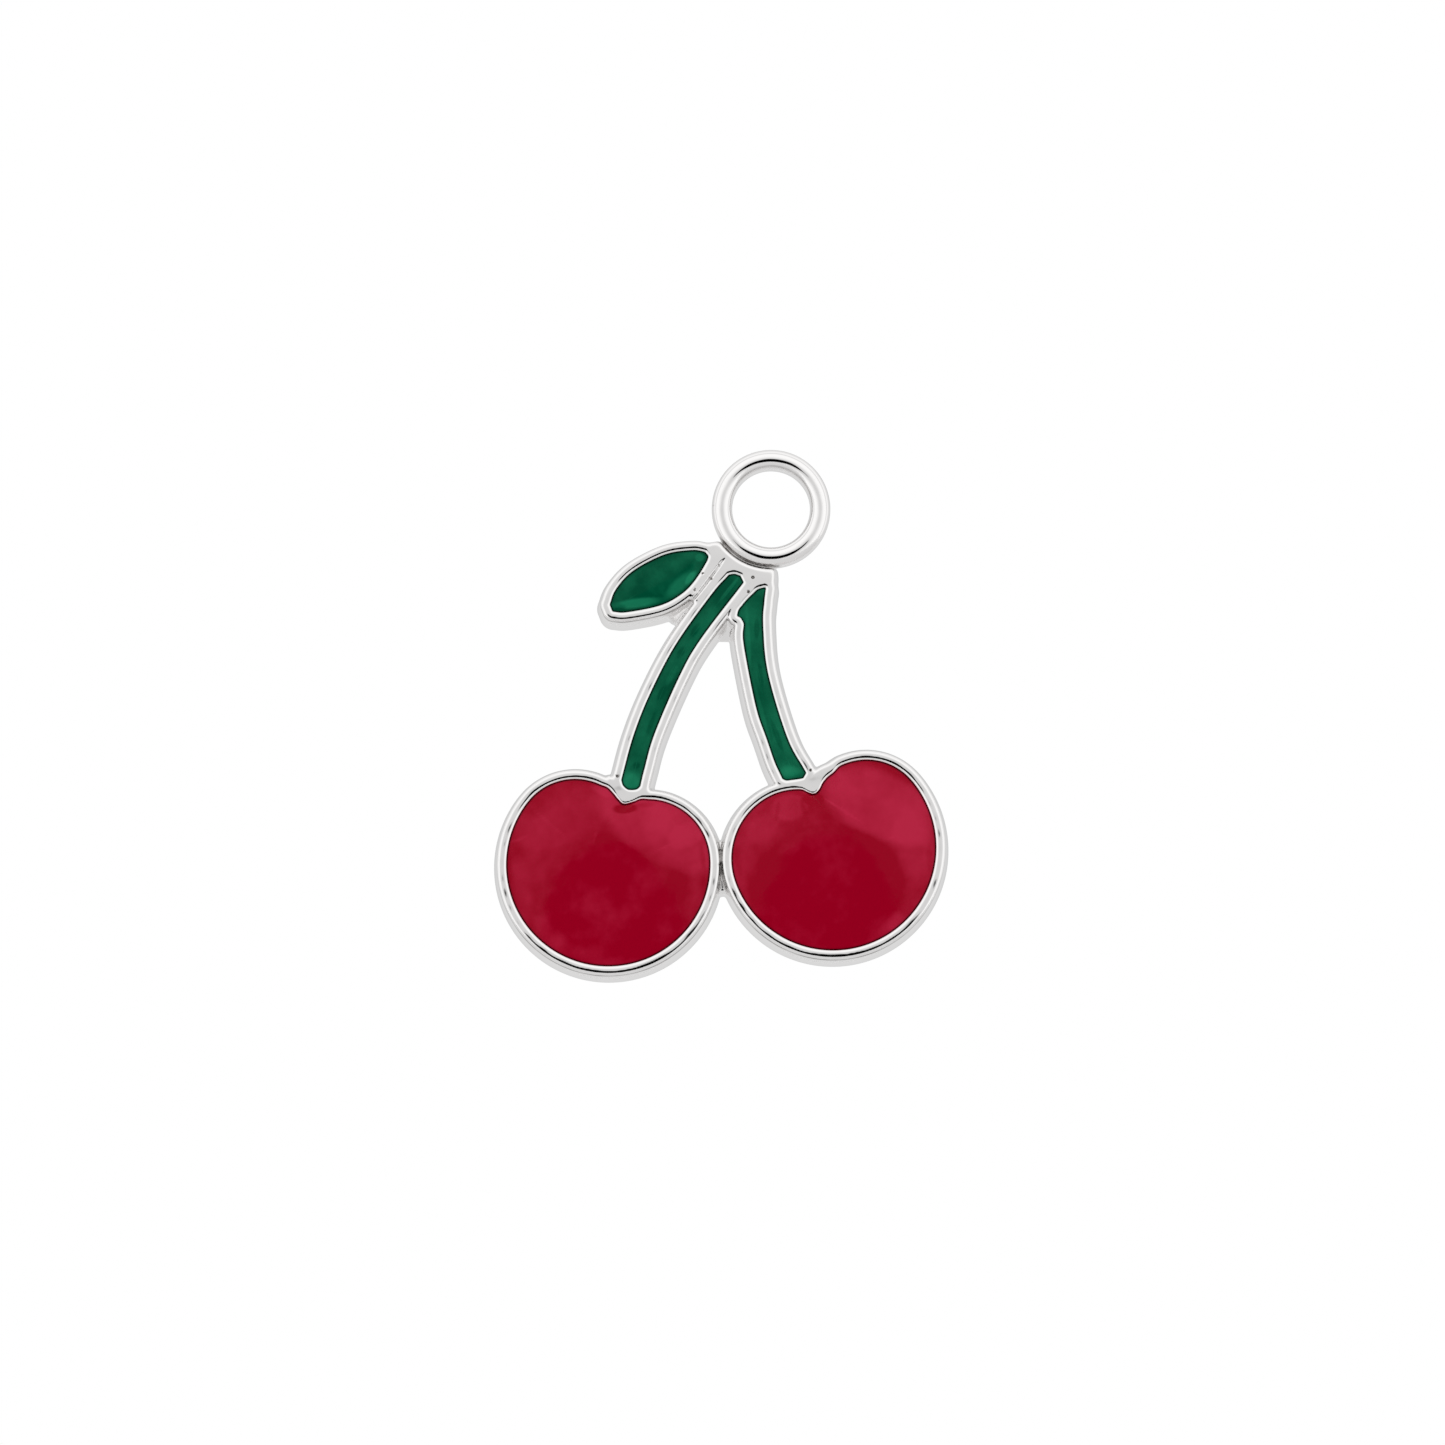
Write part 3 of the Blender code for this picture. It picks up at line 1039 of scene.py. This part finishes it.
def scaled(
    tree: bpy.types.NodeTree, value: bpy.types.NodeSocket, low: float, high: float
) -> bpy.types.NodeSocket:
    """Map values from 0 to 1 onto another range.

    Args:
        tree: The material's tree.
        value: Socket of the values.
        low: Result for 0.
        high: Result for 1.

    Returns:
        The result's socket.
    """
    span = tree.nodes.new("ShaderNodeMapRange")
    tree.links.new(value, span.inputs["Value"])
    span.inputs["To Min"].default_value = low
    span.inputs["To Max"].default_value = high
    return span.outputs["Result"]


@dataclass(frozen=True)
class PlatedMetal:
    """Polished white-metal plating, darkened with painted shade in its creases and with polish residues in
    its pits and stains.
    """

    colour: Colour = (0.86, 0.85, 0.845)
    # Dark brown for the painted shade in the creases and for the polish residues in the pits and stains.
    shade_and_residue: Colour = (0.055, 0.040, 0.030)
    polish: tuple[float, float] = (0.02, 0.06)

    def material(self) -> bpy.types.Material:
        """Build the plating's material.

        Returns:
            The material, which reads the casting's grime values.
        """
        finish = bpy.data.materials.new("plated_metal")
        finish.use_nodes = True
        tree = finish.node_tree
        shader = tree.nodes["Principled BSDF"]
        shader.inputs["Metallic"].default_value = 1.0
        # The casting's painted shade and residues, which mix the plating towards the dark brown.
        grime = tree.nodes.new("ShaderNodeAttribute")
        grime.attribute_name = "grime"
        uneven = HandFinish.place(tree, 800.0, 5000.0, 0.05)
        patchy = tree.nodes.new("ShaderNodeMath")
        patchy.operation = "MULTIPLY"
        tree.links.new(grime.outputs["Fac"], patchy.inputs[0])
        tree.links.new(scaled(tree, uneven.outputs["Patches"], 0.55, 1.0), patchy.inputs[1])
        colour = mix_colours(tree, self.colour, self.shade_and_residue, patchy.outputs[0])
        tree.links.new(colour, shader.inputs["Base Color"])
        tree.links.new(scaled(tree, uneven.outputs["Patches"], *self.polish), shader.inputs["Roughness"])
        bump = new_node(tree, "ShaderNodeBump", strength=1.0, distance=1.0e-6)
        tree.links.new(uneven.outputs["Height"], bump.inputs["Height"])
        tree.links.new(bump.outputs["Normal"], shader.inputs["Normal"])
        return finish


@dataclass(frozen=True)
class Enamel:
    """Glossy enamel, with painted shade on its deeper tone at the edge, and soft patches that are partly
    milkier or clearer enamel and partly painted light and painted shade.
    """

    name: str
    # deep and milky are the ends of the enamel's tone; the mix between them also carries the painted light
    # and painted shade of the patches.
    deep: Colour
    milky: Colour
    # Near-black colour of the painted shade along the fill's edge.
    edge: Colour
    gloss: float = 0.05
    polish: tuple[float, float] = (0.03, 0.09)

    def material(self) -> bpy.types.Material:
        """Build the enamel's material.

        Returns:
            The material, which reads a fill's value of milkiness with painted light and shade, and its value
            of painted edge shade.
        """
        finish = bpy.data.materials.new(self.name)
        finish.use_nodes = True
        tree = finish.node_tree
        shader = tree.nodes["Principled BSDF"]
        shader.inputs["Specular IOR Level"].default_value = self.gloss
        milk, edge = tree.nodes.new("ShaderNodeAttribute"), tree.nodes.new("ShaderNodeAttribute")
        milk.attribute_name, edge.attribute_name = "milk", "edge"
        uneven = HandFinish.place(tree, 620.0, 2600.0, 0.35)
        # Milkiness and painted light and shade from the fill, with fine random tone on top.
        tone_share = tree.nodes.new("ShaderNodeMath")
        tone_share.operation = "ADD"
        tone_share.use_clamp = True
        tree.links.new(milk.outputs["Fac"], tone_share.inputs[0])
        tree.links.new(scaled(tree, uneven.outputs["Height"], -0.75, 0.45), tone_share.inputs[1])
        colour = mix_colours(tree, self.deep, self.milky, tone_share.outputs[0])
        # Painted shade along the fill's edge, over the enamel's deeper tone there.
        colour = mix_colours(tree, colour, self.edge, edge.outputs["Fac"])
        tree.links.new(colour, shader.inputs["Base Color"])
        tree.links.new(scaled(tree, uneven.outputs["Patches"], *self.polish), shader.inputs["Roughness"])
        bump = new_node(tree, "ShaderNodeBump", strength=1.0, distance=8.0e-6)
        tree.links.new(uneven.outputs["Height"], bump.inputs["Height"])
        tree.links.new(bump.outputs["Normal"], shader.inputs["Normal"])
        return finish


@dataclass(frozen=True)
class Studio:
    """A white light tent with a dark opening where the camera looks in, and a pale floor far below."""

    distance: float = 0.30
    below_degrees: float = 6.0
    opening_below_degrees: float = 8.5
    lens: float = 180.4
    aim: tuple[float, float, float] = (-2.0225, -0.95, -8.915)
    floor_z: float = -0.16
    floor_radius: float = 0.48
    tent: Knots = (
        (0.0, 0.0), (11.4, 0.0), (12.5, 0.74), (17.5, 0.79), (22.0, 0.92), (32.0, 1.10), (45.0, 1.14),
        (56.0, 1.10), (62.0, 0.74), (68.0, 1.05), (80.0, 1.08), (100.0, 0.90), (125.0, 0.86), (160.0, 0.74),
        (180.0, 0.55),
    )

    @staticmethod
    def direction(below_degrees: float) -> Vector:
        """Unit direction from the charm towards the front, some degrees below the level."""
        angle = math.radians(below_degrees)
        return Vector((0.0, -math.cos(angle), -math.sin(angle)))

    def camera(self) -> None:
        """Set up the camera."""
        data = bpy.data.cameras.new("camera")
        data.lens = self.lens
        data.sensor_width = 36.0
        data.clip_start = 0.01
        data.clip_end = 50.0
        item = bpy.data.objects.new("camera", data)
        target = Vector(self.aim) * MM
        outwards = self.direction(self.below_degrees)
        item.location = target + outwards * self.distance
        item.rotation_euler = (-outwards).to_track_quat("-Z", "Y").to_euler()
        bpy.context.scene.collection.objects.link(item)
        bpy.context.scene.camera = item

    def world(self) -> None:
        """Light the tent from the sky dome, darker around the camera's opening and behind the charm."""
        world = bpy.data.worlds.new("tent")
        bpy.context.scene.world = world
        world.use_nodes = True
        tree = world.node_tree
        tree.nodes.clear()
        lit = tree.nodes.new("ShaderNodeBackground")
        tree.links.new(self._tent_level(tree), lit.inputs["Color"])
        seen = tree.nodes.new("ShaderNodeBackground")
        seen.inputs["Color"].default_value = (1.0, 1.0, 1.0, 1.0)
        path = tree.nodes.new("ShaderNodeLightPath")
        mix = tree.nodes.new("ShaderNodeMixShader")
        output = tree.nodes.new("ShaderNodeOutputWorld")
        tree.links.new(path.outputs["Is Camera Ray"], mix.inputs[0])
        tree.links.new(lit.outputs[0], mix.inputs[1])
        tree.links.new(seen.outputs[0], mix.inputs[2])
        tree.links.new(mix.outputs[0], output.inputs["Surface"])

    def _tent_level(self, tree: bpy.types.NodeTree) -> bpy.types.NodeSocket:
        """Find how bright the tent is in each direction, from the angle away from its opening.

        Args:
            tree: The world's tree.

        Returns:
            The brightness's socket.
        """
        place = tree.nodes.new("ShaderNodeTexCoord")
        facing = tree.nodes.new("ShaderNodeVectorMath")
        facing.operation = "DOT_PRODUCT"
        facing.inputs[1].default_value = self.direction(self.opening_below_degrees)
        tree.links.new(place.outputs["Generated"], facing.inputs[0])
        angle = tree.nodes.new("ShaderNodeMath")
        angle.operation = "ARCCOSINE"
        tree.links.new(facing.outputs["Value"], angle.inputs[0])
        share = tree.nodes.new("ShaderNodeMath")
        share.operation = "DIVIDE"
        share.inputs[1].default_value = math.pi
        tree.links.new(angle.outputs[0], share.inputs[0])
        ramp = tree.nodes.new("ShaderNodeValToRGB")
        while len(ramp.color_ramp.elements) < len(self.tent):
            ramp.color_ramp.elements.new(0.5)
        for element, (degrees, level) in zip(ramp.color_ramp.elements, self.tent):
            element.position = degrees / 180.0
            element.color = (level, level, level, 1.0)
        tree.links.new(share.outputs[0], ramp.inputs[0])
        return ramp.outputs["Color"]

    def floor(self) -> None:
        """Lay the pale round floor, which fades out at its edge."""
        bpy.ops.mesh.primitive_circle_add(
            vertices=96, radius=self.floor_radius, fill_type="NGON", location=(0.0, 0.0, self.floor_z)
        )
        item = bpy.context.active_object
        item.name = "floor"
        finish = bpy.data.materials.new("pale_floor")
        finish.use_nodes = True
        tree = finish.node_tree
        shader = tree.nodes["Principled BSDF"]
        shader.inputs["Base Color"].default_value = (0.80, 0.80, 0.80, 1.0)
        shader.inputs["Roughness"].default_value = 0.9
        shader.inputs["Specular IOR Level"].default_value = 0.0
        place = tree.nodes.new("ShaderNodeTexCoord")
        reach = tree.nodes.new("ShaderNodeVectorMath")
        reach.operation = "LENGTH"
        tree.links.new(place.outputs["Object"], reach.inputs[0])
        fade = tree.nodes.new("ShaderNodeMapRange")
        fade.interpolation_type = "SMOOTHSTEP"
        fade.inputs["From Min"].default_value = self.floor_radius * 0.45
        fade.inputs["From Max"].default_value = self.floor_radius * 0.98
        fade.inputs["To Min"].default_value = 1.0
        fade.inputs["To Max"].default_value = 0.0
        tree.links.new(reach.outputs["Value"], fade.inputs["Value"])
        tree.links.new(fade.outputs["Result"], shader.inputs["Alpha"])
        item.data.materials.append(finish)

    def build(self) -> None:
        """Set up everything that isn't the charm."""
        self.camera()
        self.world()
        self.floor()
        bpy.context.scene.view_settings.view_transform = "Standard"


@dataclass(frozen=True)
class FillKind:
    """What the fills of one kind share: their slot, how high they dome, and how milky they are."""

    slot: Slot
    rise: float
    base_milk: float


@dataclass
class Charm:
    """The whole charm: the casting and its five fills."""

    plating: PlatedMetal = PlatedMetal()
    red: Enamel = Enamel(
        name="red_enamel",
        deep=(0.318, 0.0003, 0.0140),
        milky=(0.490, 0.0170, 0.0550),
        edge=(0.030, 0.0, 0.002),
    )
    green: Enamel = Enamel(
        name="green_enamel",
        deep=(0.0, 0.068, 0.032),
        milky=(0.012, 0.215, 0.108),
        edge=(0.0, 0.006, 0.003),
        gloss=0.03,
    )
    edge_sink: float = 0.09
    kinds: dict[str, FillKind] = field(default_factory=lambda: {
        "cherry": FillKind(Slot.RED, rise=0.36, base_milk=0.12),
        "leaf": FillKind(Slot.GREEN, rise=0.10, base_milk=0.0),
        "stalk": FillKind(Slot.GREEN, rise=0.05, base_milk=0.22),
    })
    spines: dict[str, Knots] = field(default_factory=lambda: {
        "enamel_cherry_left": ((-6.90, -13.30),),
        "enamel_cherry_right": ((2.70, -12.90),),
        "enamel_leaf": ((-5.90, -3.75), (-4.60, -2.90), (-3.30, -2.20)),
        "enamel_stalk_left": (
            (-1.50, -3.05), (-3.35, -5.35), (-4.42, -7.40), (-5.30, -9.50), (-5.75, -11.30)
        ),
        "enamel_stalk_right": (
            (-0.50, -3.70), (-0.75, -4.70), (-0.65, -6.20), (-0.25, -8.10), (0.35, -9.80), (0.90, -10.95)
        ),
    })
    nudges: dict[str, tuple[float, float]] = field(default_factory=lambda: {
        "enamel_cherry_left": (0.045, 0.0), "enamel_cherry_right": (-0.02, 0.0),
    })
    lips: dict[str, Knots] = field(default_factory=lambda: {
        "enamel_cherry_left": (
            (-4.80, -12.17), (-5.10, -12.15), (-5.38, -12.14), (-5.65, -12.24), (-5.90, -12.32),
            (-6.05, -12.35), (-6.20, -12.31), (-6.34, -12.18), (-6.60, -11.87), (-6.82, -11.65),
            (-7.05, -11.56),
        ),
        "enamel_cherry_right": (
            (2.60, -11.03), (2.38, -11.20), (2.18, -11.43), (2.00, -11.76), (1.86, -11.89), (1.70, -11.93),
            (1.54, -11.88), (1.25, -11.75), (1.00, -11.74), (0.70, -11.77),
        ),
    })
    # Lighter and darker patches of the enamel. The broad lighter ones on the upper right of each cherry are
    # painted light, the broad darker ones over each cherry's lower middle and the dark ones just under the
    # metal lips are painted shade; the rest make the enamel lighter or darker here and there.
    tone_patches: dict[str, tuple[TonePatch, ...]] = field(default_factory=lambda: {
        "enamel_cherry_left": (
            TonePatch(-4.5, -13.35, 2.8, 1.40, 0.58, -30.0, 0.35), TonePatch(-8.3, -12.9, 1.9, 0.9, 0.26, 28.0, 0.8),
            TonePatch(-9.9, -13.6, 0.6, 0.9, 0.28, 20.0, 0.8), TonePatch(-10.3, -15.9, 0.35, 1.3, 0.16, 6.0, 0.8),
            TonePatch(-7.0, -11.75, 0.45, 0.18, 0.40, -25.0), TonePatch(-3.5, -13.6, 0.8, 0.5, 0.22, 30.0, 0.3),
            TonePatch(-3.3, -15.9, 0.35, 0.8, 0.30, -12.0), TonePatch(-9.5, -17.3, 0.30, 0.45, 0.30, 40.0),
            TonePatch(-8.9, -18.0, 0.35, 0.25, 0.22, 40.0), TonePatch(-3.9, -17.5, 0.5, 0.6, 0.20, 30.0),
            TonePatch(-6.2, -16.2, 3.0, 2.35, -0.34, -8.0, 0.28), TonePatch(-7.7, -15.4, 1.6, 1.7, -0.10, 0.0, 0.5),
            TonePatch(-6.05, -12.50, 0.50, 0.20, -0.75, 4.0, 0.5), TonePatch(-5.2, -12.35, 0.35, 0.10, -0.3),
            TonePatch(-3.9, -13.85, 0.95, 0.04, 0.32, 27.0, 0.8), TonePatch(-9.2, -13.1, 0.9, 0.04, 0.22, -42.0, 0.8),
            TonePatch(-7.3, -13.75, 0.05, 0.35, 0.25, -12.0), TonePatch(-10.9, -14.9, 0.14, 0.7, -0.30, 4.0),
            TonePatch(-10.55, -13.8, 0.4, 0.06, 0.30, 15.0, 0.8), TonePatch(-2.85, -14.5, 0.10, 0.5, -0.30, 8.0),
        ),
        "enamel_cherry_right": (
            TonePatch(4.5, -12.35, 2.6, 1.35, 0.60, -25.0, 0.35), TonePatch(5.9, -14.2, 0.8, 1.5, 0.26, 10.0, 0.8),
            TonePatch(0.75, -12.45, 0.75, 0.55, 0.42, 8.0, 0.4), TonePatch(-0.35, -13.3, 0.7, 0.55, 0.20, 40.0, 0.5),
            TonePatch(5.2, -17.2, 0.40, 0.35, 0.30, 40.0), TonePatch(-1.25, -15.7, 0.30, 0.8, 0.22, 14.0),
            TonePatch(0.3, -17.2, 0.45, 0.25, 0.18, -40.0), TonePatch(2.3, -15.7, 3.1, 2.35, -0.34, 8.0, 0.28),
            TonePatch(2.0, -13.8, 1.2, 0.6, -0.14, 10.0, 0.4), TonePatch(1.72, -12.10, 0.42, 0.22, -0.75, 0.0, 0.5),
            TonePatch(1.35, -12.6, 0.10, 0.5, -0.35, 14.0, 0.5), TonePatch(0.25, -12.6, 0.08, 0.45, -0.30, -8.0, 0.5),
            TonePatch(2.9, -12.55, 0.95, 0.05, 0.34, -33.0, 0.8), TonePatch(5.5, -13.4, 0.8, 0.04, 0.26, 30.0, 0.8),
            TonePatch(-1.35, -14.7, 0.12, 0.6, -0.25, 6.0), TonePatch(6.55, -14.6, 0.14, 0.6, -0.25, 4.0),
        ),
        "enamel_leaf": (
            TonePatch(-5.60, -3.93, 0.95, 0.18, 0.72, 8.0, 0.8), TonePatch(-3.75, -3.12, 0.75, 0.24, 0.52, 42.0, 1.0),
            TonePatch(-3.34, -2.86, 0.30, 0.12, 0.70, 52.0, 0.9), TonePatch(-2.98, -2.02, 0.20, 0.16, 0.45, 0.0, 0.7),
            TonePatch(-5.7, -3.0, 0.9, 0.35, 0.10, 35.0), TonePatch(-4.3, -2.45, 1.3, 0.35, -0.30, 22.0, 0.6),
            TonePatch(-6.30, -4.10, 0.25, 0.14, -0.25),
        ),
        "enamel_stalk_left": (
            TonePatch(-5.8, -11.35, 0.4, 0.35, 0.55), TonePatch(-1.75, -3.35, 0.55, 0.07, 0.40, 52.0),
            TonePatch(-3.15, -5.05, 0.30, 0.12, -0.30, 58.0), TonePatch(-3.75, -6.0, 0.25, 0.12, -0.30, 60.0),
            TonePatch(-4.10, -6.9, 0.45, 0.12, 0.25, 64.0), TonePatch(-4.55, -7.7, 0.30, 0.12, -0.30, 64.0),
            TonePatch(-5.0, -9.0, 0.5, 0.10, -0.20, 70.0), TonePatch(-5.6, -10.7, 0.14, 0.12, -0.30),
        ),
        "enamel_stalk_right": (
            TonePatch(0.75, -10.95, 0.4, 0.22, 0.55), TonePatch(-0.95, -5.6, 0.09, 1.3, 0.25, 3.0),
            TonePatch(-0.30, -8.9, 0.09, 1.5, 0.25, 14.0), TonePatch(0.25, -9.5, 0.10, 0.6, -0.30, 20.0),
            TonePatch(-0.6, -5.0, 0.10, 0.4, -0.30), TonePatch(-0.45, -6.9, 0.10, 0.5, -0.25, 8.0),
        ),
    })

    def add(self, piece: bpy.types.Object, node: str, slot: Slot) -> None:
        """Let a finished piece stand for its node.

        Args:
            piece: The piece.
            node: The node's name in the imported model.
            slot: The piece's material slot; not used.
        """
        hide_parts(node)
        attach(piece, "root")
        log.info("%s: %d faces", piece.name, len(piece.data.polygons))

    def build(self) -> None:
        """Build every piece."""
        outlines = {
            node: Outline.of_fill(node, self.nudges.get(node, (0.0, 0.0)), self.lips.get(node, ()))
            for node in self.spines
        }
        low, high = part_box("cast_frame")
        casting = Casting(
            fills=outlines, crest_y=low.y / MM, back_y=high.y / MM, finish=self.plating.material()
        )
        self.add(casting.build(), "cast_frame", Slot.METAL)
        floor_y = max(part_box(node)[1].y for node in outlines) / MM
        finishes = {Slot.RED: self.red.material(), Slot.GREEN: self.green.material()}
        for node, outline in outlines.items():
            kind = self.kinds[node.split("_")[1]]
            fill = EnamelFill(
                node=node,
                outline=outline,
                finish=finishes[kind.slot],
                rise=kind.rise,
                base_milk=kind.base_milk,
                spine=self.spines[node],
                edge_y=casting.crest_y + self.edge_sink,
                floor_y=floor_y,
                tone_patches=self.tone_patches[node],
            )
            self.add(fill.build(), node, kind.slot)


def main() -> None:
    """Build the studio and the charm."""
    logging.basicConfig(level=logging.INFO, format="%(name)s: %(message)s")
    Studio().build()
    Charm().build()


if __name__ == "__main__":
    main()
